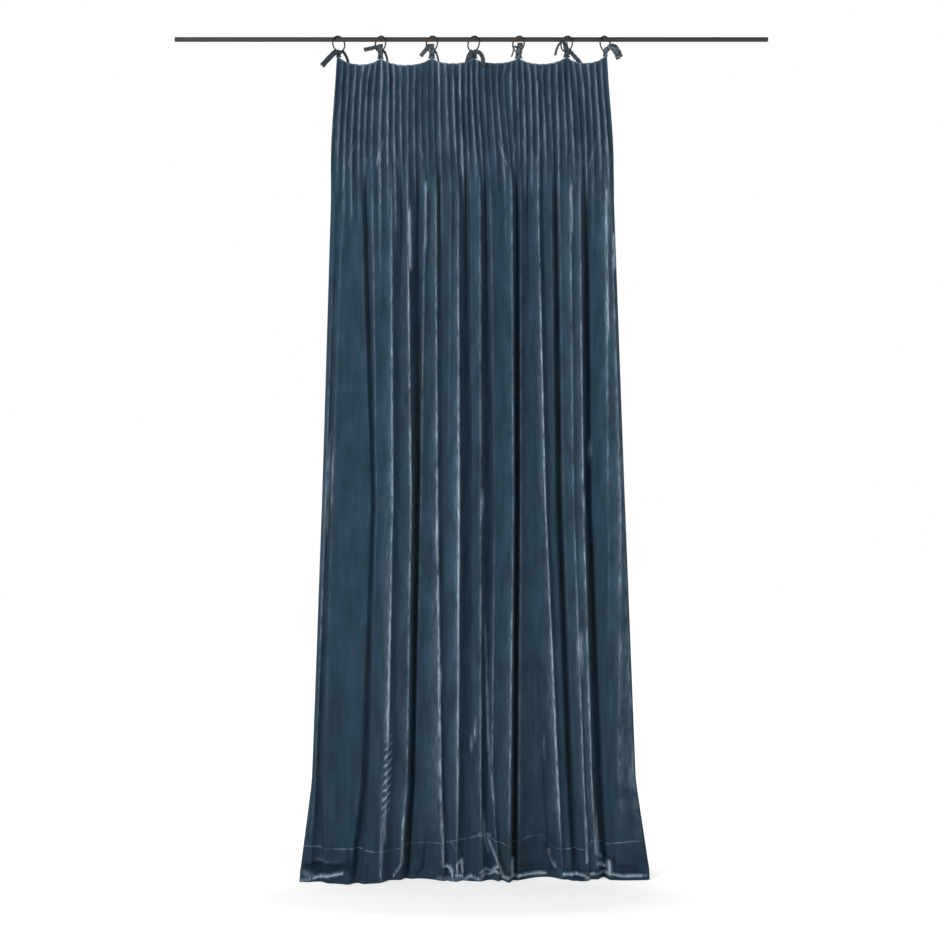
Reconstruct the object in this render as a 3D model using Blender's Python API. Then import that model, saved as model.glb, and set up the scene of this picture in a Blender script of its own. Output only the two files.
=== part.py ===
"""A velvet curtain, hung by seven knotted ties and seven wire rings from a plain round rod.

Units are metres, +Z is up, and the front of the curtain faces -Y.
The origin is the middle of the rod's axis.
"""
import math
from collections import namedtuple

import bmesh
import bpy
import numpy as np
from mathutils import Matrix, Vector

for leftover in list(bpy.data.objects):
    bpy.data.objects.remove(leftover, do_unlink=True)

MM = 0.001

# Driving dimensions
ROD_LENGTH = 2.010
ROD_RADIUS = 0.008
ROD_ABOVE_FLOOR = 2.850
RING_RADIUS = 0.0255
WIRE_RADIUS = 0.0025
GAP = 0.0003
CLOTH_THICKNESS = 0.002
PLEATS = 42
PLEAT_PITCH = 0.02177
PLEAT_DEPTH = 0.0080
PLEAT_SPREAD = 0.12
HEADING_LEFT = -0.4553
STRIP_THICKNESS = 0.0016

# Facets of the round pieces
ROD_SIDES = 24
RING_STEPS = 20
WIRE_SIDES = 8

# The wire rests on top of the rod, so the ring's centre hangs below the rod's axis
RING_CENTRE_Z = ROD_RADIUS + GAP + WIRE_RADIUS - RING_RADIUS
RING_BOTTOM_Z = RING_CENTRE_Z - RING_RADIUS

# Where each tie is sewn on: the pleat it sits at, how far the cloth's top edge lies below the rod's
# axis there, how far the edge sags on its way to the next tie, and how far the ring is turned.
# A positive turn brings the ring's right side to the front.
Tie = namedtuple("Tie", "name pleat edge_drop sag ring_turn")
TIES = (
    Tie("1", 0.25, 0.057, 0.025, -48),
    Tie("2", 6.75, 0.062, 0.025, 47),
    Tie("3", 14.75, 0.061, 0.020, 50),
    Tie("4", 21.25, 0.061, 0.019, 49),
    Tie("5", 28.25, 0.061, 0.024, 48),
    Tie("6", 35.75, 0.057, 0.024, 46),
    Tie("7", 41.75, 0.054, 0.0, -47),
)

# The folds below the heading, from left to right, in millimetres. Each row is the crest or the
# bottom of one fold: the pleat that it runs down from, its place from side to side at four heights,
# how far it stands out at three heights, and how far its foot breaks forward on the floor.
Fold = namedtuple("Fold", "name pleat upper middle lower floor out_upper out_middle out_floor foot")
FOLDS = (
    Fold("left_edge", 0.0, -476, -507, -541, -576, -4, -8, 2, 30),
    Fold("edge_roll", 0.6, -463, -493, -529, -547, 4, 6, 16, 34),
    Fold("edge_groove", 1.1, -450, -484, -512, -516, -2, -4, -4, 30),
    Fold("panel_a_left", 1.8, -436, -473, -497, -488, 10, 10, 34, 32),
    Fold("panel_a_right", 4.3, -373, -352, -384, -414, 12, 16, 46, 22),
    Fold("groove_a", 5.1, -359, -340, -370, -391, -18, -16, 14, 14),
    Fold("step_b", 6.1, -335, -329, -353, -368, 10, 12, 40, 12),
    Fold("dip_b_left", 7.7, -288, -292, -308, -326, -2, 14, 38, 12),
    Fold("rib_b_left", 8.4, -271, -266, -284, -303, 16, 24, 44, 14),
    Fold("dip_b", 9.8, -236, -238, -253, -273, -12, -4, 10, 8),
    Fold("rib_b_right", 10.8, -216, -203, -217, -239, 20, 24, 12, 8),
    Fold("gap_b", 12.3, -182, -187, -205, -224, -26, -36, -38, 4),
    Fold("step_c", 13.3, -157, -172, -190, -207, 8, -4, -16, 4),
    Fold("dip_c", 14.0, -143, -148, -170, -176, -6, -8, -20, 4),
    Fold("rib_c", 15.1, -120, -116, -103, -93, 14, 18, 4, 12),
    Fold("groove_c", 15.7, -110, -101, -92, -84, -12, -4, -8, 6),
    Fold("rib_c_mid", 17.0, -69, -80, -78, -72, 10, 8, 2, 10),
    Fold("dip_c_right", 17.5, -57, -60, -60, -58, 2, 12, 6, 16),
    Fold("rib_c_right", 18.1, -45, -42, -46, -49, 18, 22, 14, 24),
    Fold("gap_c", 19.3, -19, -14, -17, -27, -26, -26, -12, 6),
    Fold("step_d", 20.1, -3, 5, 0, -6, 4, -6, -4, 12),
    Fold("rib_d", 21.3, 29, 31, 31, 36, 14, 14, 12, 22),
    Fold("gap_d", 22.3, 48, 66, 45, 68, -22, -26, -12, 8),
    Fold("rib_e_left", 23.2, 65, 79, 70, 92, 10, 8, 18, 22),
    Fold("dip_e", 24.5, 103, 108, 88, 101, -3, 4, 0, 18),
    Fold("rib_e", 25.8, 137, 142, 131, 127, 20, 24, 26, 34),
    Fold("gap_e", 27.1, 152, 155, 149, 144, -30, -46, -44, 8),
    Fold("rib_f", 28.1, 167, 167, 160, 157, 4, 4, -8, 36),
    Fold("groove_f", 29.4, 191, 211, 238, 252, -16, -14, -54, 20),
    Fold("rib_g_left", 30.9, 225, 250, 293, 308, 18, 22, -4, 18),
    Fold("dip_g", 31.5, 238, 257, 305, 322, -6, 2, -10, 18),
    Fold("rib_g_right", 32.6, 271, 282, 320, 340, 12, 8, -8, 22),
    Fold("gap_g", 33.4, 285, 299, 336, 357, -22, -30, -26, 26),
    Fold("step_h", 34.1, 298, 312, 348, 369, 4, 6, 4, 36),
    Fold("rib_h_left", 35.4, 334, 345, 380, 395, 12, 14, 4, 40),
    Fold("dip_h", 36.0, 350, 357, 389, 405, 4, 10, -10, 24),
    Fold("rib_h_right", 36.7, 367, 378, 407, 429, 20, 24, -2, 14),
    Fold("gap_h", 37.9, 388, 393, 433, 452, -26, -34, -44, 14),
    Fold("step_i", 38.7, 403, 410, 447, 467, 4, -2, -18, 34),
    Fold("rib_i", 40.5, 454, 462, 474, 494, 16, 10, -8, 38),
    Fold("right_crest", 41.3, 472, 506, 497, 522, 8, 12, 2, 40),
    Fold("edge_crest", 41.7, 478, 514, 551, 589, 2, 4, -4, 36),
    Fold("right_edge", 42.0, 483, 520, 558, 598, -4, -6, -14, 32),
)

# Heights above the floor at which the table of folds gives its places
UPPER, MIDDLE, LOWER, FOOT = 2.305, 1.288, 0.337, 0.033

# The heading keeps its pleats down to here, and they have merged into the folds by the second height
HEADING_FOOT = 2.50
PLEATS_MERGED = 2.28
PLEATS_GONE = 2.05

# The pleats fan out a little on their way down from the top edge
HEADING_TOP = 2.790

# Rows of the sheet below its top edge: height above the floor, and the share of the foot's break
Row = namedtuple("Row", "height foot_share")
ROWS = (
    Row(2.500, 0.0),
    Row(2.440, 0.0),
    Row(2.390, 0.0),
    Row(2.340, 0.0),
    Row(2.280, 0.0),
    Row(2.160, 0.0),
    Row(2.050, 0.0),
    Row(1.600, 0.0),
    Row(1.100, 0.0),
    Row(0.650, 0.0),
    Row(0.340, 0.0),
    Row(0.150, 0.02),
    Row(0.060, 0.12),
    Row(0.025, 0.42),
    Row(0.009, 0.75),
    Row(0.0016, 1.0),
)

# Strips of the ties, in millimetres from the lowest point of each ring's wire: to the right,
# out to the front, and up. A strip faces the front, or it is turned on edge to face the side.
Strip = namedtuple("Strip", "tie part width facing points")
STRIPS = (
    Strip("1", "left_end", 15, "front", ((-4, 5, 2), (-24, 13, -12), (-42, 12, -31), (-56, 10, -51))),
    Strip("1", "right_strap", 9, "side", ((12, -2, 5), (21, -8, -8), (30, -12, -24), (34, -12, -52))),
    Strip("2", "standing_loop", 13, "front", ((0, 9, -9), (0, 11, 4), (1, 8, 17), (0, 1, 23), (0, -2, 3))),
    Strip("2", "left_end", 14, "front", ((-1, -3, 9), (-14, -7, 16), (-34, -4, 15), (-57, 0, 7))),
    Strip("2", "right_strap", 9, "side", ((7, 7, 1), (15, 2, -5), (21, -11, -22), (23, -12, -46))),
    Strip("3", "standing_loop", 15, "front", ((0, 9, -9), (0, 12, 4), (0, 9, 17), (0, 1, 24), (0, -2, 3))),
    Strip("3", "left_end", 13, "front", ((-1, -3, 9), (-14, -6, 16), (-27, -2, 4), (-40, 1, -17))),
    Strip("3", "right_strap", 8, "side", ((7, 7, 1), (14, 2, -5), (20, -11, -22), (23, -12, -46))),
    Strip("4", "left_lobe", 13, "front",
          ((-1, 5, -3), (-13, 7, -8), (-23, -5, -20), (-28, -12, -36), (-28, -12, -48))),
    Strip("4", "right_lobe", 13, "front",
          ((2, 6, -2), (19, 12, -5), (31, 13, -20), (30, 12, -38), (24, 12, -57))),
    Strip("5", "standing_loop", 17, "front", ((0, 9, -9), (0, 12, 5), (0, 10, 19), (0, 2, 27), (0, -2, 3))),
    Strip("5", "left_end", 9, "side", ((-1, -3, 9), (-14, -6, 18), (-16, -4, 4), (-23, -2, -17))),
    Strip("6", "standing_loop", 13, "front", ((0, 9, -9), (-1, 11, 5), (-4, 9, 20), (-6, 3, 27), (-1, -2, 3))),
    Strip("6", "left_end", 9, "side",
          ((-4, 8, 18), (-10, 11, 27), (-22, 10, 21), (-31, 8, 4), (-36, 7, -13))),
    Strip("6", "right_strap", 14, "front",
          ((7, 7, 2), (18, 1, -7), (30, -10, -18), (40, -13, -30), (47, -13, -44))),
    Strip("7", "near_end", 14, "front", ((16, 6, 14), (27, 8, 4), (36, 7, -10), (43, 6, -28))),
    Strip("7", "far_end", 13, "front", ((20, 1, 20), (34, -2, 17), (45, -3, 2), (53, -4, -18))),
)

# The knots, in millimetres from the same point: centre and half sizes
Knot = namedtuple("Knot", "tie centre half_size")
KNOTS = (
    Knot("1", (2, 1, -3), (14, 7, 6)),
    Knot("2", (1, 2, -6), (9, 8, 6)),
    Knot("3", (1, 2, -6), (10, 8, 6)),
    Knot("4", (1, 3, -4), (10, 8, 7)),
    Knot("5", (0, 2, -6), (11, 8, 6)),
    Knot("6", (2, 2, -5), (10, 8, 6)),
    Knot("7", (3, 1, 4), (9, 8, 11)),
    Knot("7", (19, 4, 16), (13, 7, 9)),
)
STEM_WIDTH = {"1": 13, "2": 15, "3": 18, "4": 16, "5": 20, "6": 15, "7": 12}
TURN_LENGTH = 0.015
TURN_RADIUS = 0.0048


def principled(name, colour, roughness, metallic):
    material = bpy.data.materials.new(name)
    material.use_nodes = True
    shader = material.node_tree.nodes["Principled BSDF"]
    shader.inputs["Base Color"].default_value = (*colour, 1.0)
    shader.inputs["Roughness"].default_value = roughness
    shader.inputs["Metallic"].default_value = metallic
    return material


def new_object(name, mesh, material=None):
    piece = bpy.data.objects.new(name, mesh)
    bpy.context.collection.objects.link(piece)
    if material:
        mesh.materials.append(material)
    return piece


def mesh_of(builder, name):
    mesh = bpy.data.meshes.new(name)
    builder.to_mesh(mesh)
    builder.free()
    return mesh


def smooth(share):
    """Ease a share from 0 to 1 in and out."""
    share = np.clip(share, 0.0, 1.0)
    return share * share * (3.0 - 2.0 * share)


def heading_x(pleat, height=HEADING_TOP):
    middle = HEADING_LEFT + PLEAT_PITCH * PLEATS / 2
    pitch = PLEAT_PITCH * (1.0 + PLEAT_SPREAD * (HEADING_TOP - height))
    return middle + pitch * (pleat - PLEATS / 2)


def top_edge_z(pleat):
    """The top edge hangs in a shallow swag between one tie and the next."""
    at = np.array([tie.pleat for tie in TIES])
    drop = np.array([tie.edge_drop for tie in TIES])
    span = np.clip(np.searchsorted(at, pleat, side="right") - 1, 0, len(TIES) - 2)
    share = np.clip((pleat - at[span]) / (at[span + 1] - at[span]), 0.0, 1.0)
    sag = np.array([tie.sag for tie in TIES])[span] * np.sin(math.pi * share) ** 0.8
    return -(np.interp(pleat, at, drop) + sag)


def column(field):
    """One named column of the table of folds, in metres or in pleats."""
    unit = 1.0 if field == "pleat" else MM
    return np.array([getattr(fold, field) for fold in FOLDS]) * unit


def fold_places(height):
    """Side-to-side place and outward place of every fold's line at one height."""
    upward = (FOOT, LOWER, MIDDLE, UPPER)
    by_height = np.stack([column("floor"), column("lower"), column("middle"), column("upper")])
    side = np.array([np.interp(height, upward, line) for line in by_height.T])
    spread = np.clip((MIDDLE - height) / MIDDLE, 0.0, 1.0) ** 1.8
    rise = np.clip((height - MIDDLE) / (UPPER - MIDDLE), 0.0, 1.0)
    out = column("out_middle") * (1.0 - spread - rise)
    out += column("out_floor") * spread + column("out_upper") * rise
    return side, out


def sheet_row(pleat, height, foot_share):
    """Side-to-side place and outward place of one row of the cloth."""
    line_side, line_out = fold_places(height)
    line_out = line_out + foot_share * column("foot")
    lines = column("pleat")
    span = np.clip(np.searchsorted(lines, pleat, side="right") - 1, 0, len(FOLDS) - 2)
    share = (pleat - lines[span]) / (lines[span + 1] - lines[span])
    side = np.interp(pleat, lines, line_side)
    fall = line_out[span + 1] - line_out[span]
    hollow = 1.0 + 0.7 * smooth(np.abs(fall) / 0.02)
    out = line_out[span] + fall * np.where(fall > 0.0, share ** hollow, 1.0 - (1.0 - share) ** hollow)
    gathered = smooth((height - PLEATS_MERGED) / (HEADING_FOOT - PLEATS_MERGED))
    pleated = smooth((height - PLEATS_GONE) / (HEADING_FOOT - PLEATS_GONE))
    side = gathered * heading_x(pleat, height) + (1.0 - gathered) * side
    zigzag = 1.0 - 4.0 * np.abs(pleat - np.round(pleat))
    out = (1.0 - gathered) * out + pleated * PLEAT_DEPTH * zigzag
    return side, out


def make_curtain(material):
    """The panel is one sheet: a grid of fold lines and rows, given its thickness by Solidify."""
    halves = np.arange(0.0, PLEATS + 0.25, 0.5)
    lines = column("pleat")
    clear = np.abs(halves[:, None] - lines[None, :]).min(axis=1) > 0.15
    pleat = np.union1d(halves[clear], lines)
    pleat = np.union1d(pleat, [tie.pleat for tie in TIES])
    side, out = sheet_row(pleat, HEADING_TOP, 0.0)
    rows = [np.stack([side, -out, top_edge_z(pleat)], axis=1)]
    for row in ROWS:
        side, out = sheet_row(pleat, row.height, row.foot_share)
        level = np.full_like(side, row.height - ROD_ABOVE_FLOOR)
        rows.append(np.stack([side, -out, level], axis=1))
    points = np.concatenate(rows)
    width = len(pleat)
    faces = []
    for down in range(len(rows) - 1):
        for along in range(width - 1):
            corner = down * width + along
            faces.append((corner, corner + width, corner + width + 1, corner + 1))
    mesh = bpy.data.meshes.new("curtain")
    mesh.from_pydata(points.tolist(), [], faces)
    mesh.shade_smooth()
    curtain = new_object("curtain", mesh, material)
    thicken = curtain.modifiers.new("thickness", "SOLIDIFY")
    thicken.thickness = CLOTH_THICKNESS
    thicken.offset = 0.0
    thicken.use_even_offset = True


def make_rod(material):
    builder = bmesh.new()
    bmesh.ops.create_cone(
        builder, cap_ends=True, segments=ROD_SIDES, radius1=ROD_RADIUS, radius2=ROD_RADIUS,
        depth=ROD_LENGTH, matrix=Matrix.Rotation(math.radians(90), 4, "Y"))
    mesh = mesh_of(builder, "rod")
    mesh.shade_smooth()
    mesh.set_sharp_from_angle(angle=math.radians(40))
    new_object("rod", mesh, material)


def wire_ring(name, wire_radius, tie):
    """A round ring of wire that stands upright, turned about the vertical."""
    bpy.ops.mesh.primitive_torus_add(
        major_radius=RING_RADIUS, minor_radius=wire_radius,
        major_segments=RING_STEPS, minor_segments=WIRE_SIDES)
    ring = bpy.context.active_object
    ring.name = name
    upright = Matrix.Rotation(math.radians(90), 4, "X")
    to_place = Matrix.Translation((heading_x(tie.pleat), 0.0, RING_CENTRE_Z))
    ring.data.transform(to_place @ ring_direction(tie) @ upright)
    ring.data.shade_smooth()
    return ring


def ring_direction(tie):
    """The ring starts edge-on to the front and is turned until it shows as an oval."""
    from_face_on = math.copysign(90 - abs(tie.ring_turn), -tie.ring_turn)
    return Matrix.Rotation(math.radians(from_face_on), 4, "Z")


def smooth_path(points, steps=3):
    """Points along a smooth curve through the given ones."""
    points = [Vector(point) for point in points]
    ends = [points[0] * 2 - points[1], *points, points[-1] * 2 - points[-2]]
    path = []
    for before, start, stop, after in zip(ends, ends[1:], ends[2:], ends[3:]):
        for step in range(steps):
            share = step / steps
            linear = (stop - before) * share
            square = (before * 2 - start * 5 + stop * 4 - after) * share ** 2
            cube = (start * 3 - before - stop * 3 + after) * share ** 3
            path.append(start + (linear + square + cube) / 2)
    path.append(points[-1])
    return path


def ribbon(path, width, facing):
    """A flat strip of velvet along a path, as a closed box-section body that never twists."""
    builder = bmesh.new()
    last = len(path) - 1
    face_normal = Vector((0, -1, 0)) if facing == "front" else Vector((1, 0, 0))
    across = face_normal.cross(path[1] - path[0])
    sections = []
    for index, point in enumerate(path):
        along = (path[min(index + 1, last)] - path[max(index - 1, 0)]).normalized()
        across = (across - along * across.dot(along)).normalized()
        half_width = across * width / 2
        half_thick = across.cross(along) * STRIP_THICKNESS / 2
        corners = (half_width + half_thick, half_thick - half_width,
                   -half_width - half_thick, half_width - half_thick)
        sections.append([builder.verts.new(point + corner) for corner in corners])
    for section, following in zip(sections, sections[1:]):
        for index in range(4):
            turn = (index + 1) % 4
            builder.faces.new((section[index], section[turn], following[turn], following[index]))
    builder.faces.new(sections[0])
    builder.faces.new(reversed(sections[-1]))
    bmesh.ops.recalc_face_normals(builder, faces=builder.faces)
    return new_object("ribbon", mesh_of(builder, "ribbon"))


def from_ring(tie, offset):
    """A point given in millimetres from the lowest point of a ring's wire: right, out, up."""
    right, out, up = offset
    return Vector((heading_x(tie.pleat) + right * MM, -out * MM, RING_BOTTOM_Z + up * MM))


def knot_lump(centre, half_size):
    builder = bmesh.new()
    bmesh.ops.create_icosphere(builder, subdivisions=2, radius=1.0)
    place = Matrix.Translation(centre) @ Matrix.Diagonal((*[half * MM for half in half_size], 1.0))
    builder.transform(place)
    return new_object("knot", mesh_of(builder, "knot"))


def turn_round_wire(tie):
    """The short sleeve that the strip makes where it goes round the ring's wire."""
    builder = bmesh.new()
    bmesh.ops.create_cone(
        builder, cap_ends=True, segments=10, radius1=TURN_RADIUS, radius2=TURN_RADIUS,
        depth=TURN_LENGTH, matrix=Matrix.Rotation(math.radians(90), 4, "Y"))
    builder.transform(Matrix.Translation(from_ring(tie, (0, 0, 0))) @ ring_direction(tie))
    return new_object("turn", mesh_of(builder, "turn"))


def fused(name, pieces, cutter, material):
    """One closed body: the pieces are joined, and the wire's clearance is cut out of them."""
    body = pieces[0]
    for operation, operands in (("UNION", pieces[1:]), ("DIFFERENCE", [cutter])):
        for operand in operands:
            boolean = body.modifiers.new(operation.lower(), "BOOLEAN")
            boolean.operation = operation
            boolean.object = operand
    bpy.context.view_layer.update()
    evaluated = body.evaluated_get(bpy.context.evaluated_depsgraph_get())
    mesh = bpy.data.meshes.new_from_object(evaluated)
    for piece in (*pieces, cutter):
        bpy.data.objects.remove(piece, do_unlink=True)
    mesh.materials.clear()
    mesh.name = name
    new_object(name, mesh, material)


def make_tie(tie, material):
    foot = float(top_edge_z(np.array([tie.pleat]))[0]) + GAP
    foot_point = Vector((heading_x(tie.pleat), 0.0, foot))
    knots = [knot for knot in KNOTS if knot.tie == tie.name]
    pieces = [turn_round_wire(tie)]
    for knot in knots:
        pieces.append(knot_lump(from_ring(tie, knot.centre), knot.half_size))
    stem_top = from_ring(tie, knots[0].centre)
    bend = foot_point + Vector((0, 0, 0.004))
    pieces.append(ribbon([stem_top, bend, foot_point], STEM_WIDTH[tie.name] * MM, "front"))
    for strip in STRIPS:
        if strip.tie == tie.name:
            path = smooth_path([from_ring(tie, point) for point in strip.points])
            pieces.append(ribbon(path, strip.width * MM, strip.facing))
    cutter = wire_ring("clearance", WIRE_RADIUS + GAP * 1.2, tie)
    fused("tie_" + tie.name, pieces, cutter, material)


rod_steel = principled("brown_black_steel", (0.058, 0.052, 0.048), 0.45, 0.8)
ring_steel = principled("black_wire", (0.020, 0.018, 0.018), 0.40, 0.8)
velvet = principled("slate_blue_velvet", (0.028, 0.055, 0.082), 0.85, 0.0)
tie_velvet = principled("slate_velvet_strip", (0.040, 0.050, 0.058), 0.85, 0.0)

make_rod(rod_steel)
for tie in TIES:
    ring = wire_ring("ring_" + tie.name, WIRE_RADIUS, tie)
    ring.data.materials.append(ring_steel)
make_curtain(velvet)
for tie in TIES:
    make_tie(tie, tie_velvet)
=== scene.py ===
"""A slate blue velvet curtain, tied by velvet strips to seven wire rings on a plain metal rod.

Metres, +Z up, the front of the curtain faces -Y. The origin is the middle of the rod's axis, and
the floor lies 2.85 m below it. Each section makes one piece, or one group of like pieces.
"""
import math
from collections import namedtuple

import bmesh
import bpy
import numpy as np
from mathutils import Matrix, Vector


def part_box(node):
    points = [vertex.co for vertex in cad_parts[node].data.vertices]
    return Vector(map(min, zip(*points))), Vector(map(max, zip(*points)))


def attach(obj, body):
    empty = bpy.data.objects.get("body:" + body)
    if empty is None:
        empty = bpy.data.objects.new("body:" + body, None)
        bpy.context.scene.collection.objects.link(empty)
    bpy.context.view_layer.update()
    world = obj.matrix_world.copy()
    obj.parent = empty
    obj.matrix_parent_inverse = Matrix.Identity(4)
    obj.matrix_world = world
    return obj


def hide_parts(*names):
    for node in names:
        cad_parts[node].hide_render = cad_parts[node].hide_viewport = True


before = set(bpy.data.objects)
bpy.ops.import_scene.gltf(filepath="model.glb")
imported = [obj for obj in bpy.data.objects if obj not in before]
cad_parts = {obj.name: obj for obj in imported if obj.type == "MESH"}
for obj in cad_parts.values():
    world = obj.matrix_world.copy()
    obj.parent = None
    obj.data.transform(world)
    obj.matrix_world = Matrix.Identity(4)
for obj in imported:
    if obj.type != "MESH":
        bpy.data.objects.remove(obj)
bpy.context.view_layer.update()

# Rod
# A thin-walled steel tube 16 mm across, cut square and closed by an inset plug at each end. It is
# powder coated in a brown black, satin and very slightly pebbled.
MM = 0.001
rod_low, rod_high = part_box("rod")
ROD_RADIUS = (rod_high.z - rod_low.z) / 2
ROD_LENGTH = rod_high.x - rod_low.x
ROD_SIDES = 72
END_FACING = 0.999
END_BEVEL = 0.0006
PLUG_INSET = 0.0012
PLUG_DEPTH = 0.0015
SMOOTH_UNDER = math.radians(35)
COAT_PEBBLE_MM = 0.9
COAT_PEBBLE_HEIGHT = 0.0002
# Patches 70 mm long, slightly browner or blacker than the rest
COAT_PATCHES_PER_METRE = 14.0


def hex_colour(code):
    """An sRGB hex value as a linear colour."""
    parts = [int(code[start:start + 2], 16) / 255 for start in (1, 3, 5)]
    linear = [((part + 0.055) / 1.055) ** 2.4 if part > 0.04045 else part / 12.92 for part in parts]
    return (*linear, 1.0)


def feed(node, inputs):
    """Gives each named input of a node its value, or a link from the socket that stands for it."""
    for name, value in dict(inputs).items():
        if isinstance(value, bpy.types.NodeSocket):
            node.id_data.links.new(value, node.inputs[name])
        else:
            node.inputs[name].default_value = value


def add_node(tree, kind, inputs=(), **settings):
    """One node, with its settings, and with its inputs given or linked."""
    node = tree.nodes.new("ShaderNode" + kind)
    for name, value in settings.items():
        setattr(node, name, value)
    feed(node, inputs)
    return node


def new_material(name, values):
    """A material with one Principled shader, whose even values are set on its own sockets."""
    material = bpy.data.materials.new(name)
    material.use_nodes = True
    shader = material.node_tree.nodes["Principled BSDF"]
    feed(shader, values)
    return material, material.node_tree, shader


def select_nothing():
    for thing in bpy.context.selected_objects:
        thing.select_set(False)


def active_piece(name):
    """The primitive that was just added, under its own name."""
    piece = bpy.context.active_object
    piece.name = name
    piece.data.name = name
    return piece


def apply_place(piece):
    """Puts the piece's place into its mesh, so that its object sits at the origin."""
    select_nothing()
    piece.select_set(True)
    bpy.context.view_layer.objects.active = piece
    bpy.ops.object.transform_apply(location=True, rotation=True, scale=True)


def fit_out(piece, material, slot, *nodes):
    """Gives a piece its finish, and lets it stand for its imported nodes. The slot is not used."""
    piece.data.materials.clear()
    piece.data.materials.append(material)
    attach(piece, "root")
    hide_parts(*nodes)


def select_ends(tube):
    """Selects the two flat ends of a tube that lies open in edit mode, along its own Z."""
    bpy.ops.mesh.select_all(action="DESELECT")
    ends = bmesh.from_edit_mesh(tube.data)
    for face in ends.faces:
        face.select_set(abs(face.normal.z) > END_FACING)
    bmesh.update_edit_mesh(tube.data)


# Powder coat: baked on, so satin, with a soft pebble that scatters what it reflects
powder_coat, tree, shader = new_material("brown_black_powder_coat", {
    "Roughness": 0.60, "Specular IOR Level": 0.22})
place = add_node(tree, "TexCoord").outputs["Object"]
pebble = add_node(tree, "TexNoise", {
    "Vector": place, "Scale": 1 / (COAT_PEBBLE_MM * MM), "Detail": 2.0}).outputs["Fac"]
pebbled = add_node(tree, "Bump", {
    "Height": pebble, "Strength": 0.12, "Distance": COAT_PEBBLE_HEIGHT}).outputs["Normal"]
patches = add_node(tree, "TexNoise", {
    "Vector": place, "Scale": COAT_PATCHES_PER_METRE, "Detail": 3.0}).outputs["Fac"]
tone = add_node(tree, "ValToRGB", {"Fac": patches})
tone.color_ramp.elements[0].color = hex_colour("#302C2A")
tone.color_ramp.elements[1].color = hex_colour("#3A3634")
feed(shader, {"Base Color": tone.outputs["Color"], "Normal": pebbled})

select_nothing()
bpy.ops.mesh.primitive_cylinder_add(
    vertices=ROD_SIDES, radius=ROD_RADIUS, depth=ROD_LENGTH,
    location=(rod_low + rod_high) / 2, rotation=(0.0, math.radians(90), 0.0))
rod = active_piece("rod_tube")
bpy.ops.object.mode_set(mode="EDIT")
bpy.ops.mesh.select_mode(type="FACE")
select_ends(rod)
bpy.ops.mesh.bevel(offset=END_BEVEL, segments=2)
select_ends(rod)
bpy.ops.mesh.inset(thickness=PLUG_INSET, depth=0.0, use_individual=True)
bpy.ops.mesh.inset(thickness=PLUG_INSET / 4, depth=-PLUG_DEPTH, use_individual=True)
bpy.ops.object.mode_set(mode="OBJECT")
apply_place(rod)
bpy.ops.object.shade_smooth_by_angle(angle=SMOOTH_UNDER)
fit_out(rod, powder_coat, "rod_steel", "rod")

# Rings
# Seven rings bent from 5 mm round wire and butt welded, 56 mm across outside, coated black. Each
# rests its wire on the top of the rod and is turned, so that it shows as an upright oval.
RING_RADIUS = 0.0255
WIRE_RADIUS = 0.0025
RING_STEPS = 96
WIRE_SIDES = 24
# Degrees that each is turned from edge-on, positive where its right side comes to the front
RING_TURN = {"1": -48, "2": 47, "3": 50, "4": 49, "5": 48, "6": 46, "7": -47}
SCUFFS_PER_METRE = 160.0
SCUFF_HEIGHT = 0.0002


def ring_direction(number):
    """The turn, about the vertical, of a ring that starts face-on to the front."""
    from_face_on = math.copysign(90 - abs(RING_TURN[number]), -RING_TURN[number])
    return Matrix.Rotation(math.radians(from_face_on), 4, "Z")


def ring_of_wire(name, number, centre, wire_radius):
    """A round ring about a centre, turned as the ring of that number is."""
    select_nothing()
    bpy.ops.mesh.primitive_torus_add(
        major_radius=RING_RADIUS, minor_radius=wire_radius,
        major_segments=RING_STEPS, minor_segments=WIRE_SIDES)
    ring = active_piece(name)
    upright = Matrix.Rotation(math.radians(90), 4, "X")
    ring.matrix_world = Matrix.Translation(centre) @ ring_direction(number) @ upright
    apply_place(ring)
    return ring


# Black coated wire: nearly black, with a satin gleam along its round back, broken by the scuffs
# that it gets on the rod
black_coat, tree, shader = new_material("black_coated_wire", {"Base Color": hex_colour("#1C1918")})
place = add_node(tree, "TexCoord").outputs["Object"]
scuffs = add_node(tree, "TexNoise", {
    "Vector": place, "Scale": SCUFFS_PER_METRE, "Detail": 4.0}).outputs["Fac"]
scuffed = add_node(tree, "Bump", {
    "Height": scuffs, "Strength": 0.1, "Distance": SCUFF_HEIGHT}).outputs["Normal"]
dulled = add_node(tree, "MapRange", {
    "Value": scuffs, "From Min": 0.35, "From Max": 0.75, "To Min": 0.32, "To Max": 0.55}).outputs["Result"]
feed(shader, {"Roughness": dulled, "Normal": scuffed})

ring_bottom = {}
for number in RING_TURN:
    low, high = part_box("ring_" + number)
    centre = (low + high) / 2
    ring_bottom[number] = Vector((centre.x, 0.0, centre.z - RING_RADIUS))
    ring = ring_of_wire("wire_ring_" + number, number, centre, WIRE_RADIUS)
    ring.data.shade_smooth()
    fit_out(ring, black_coat, "ring_steel", "ring_" + number)

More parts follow.
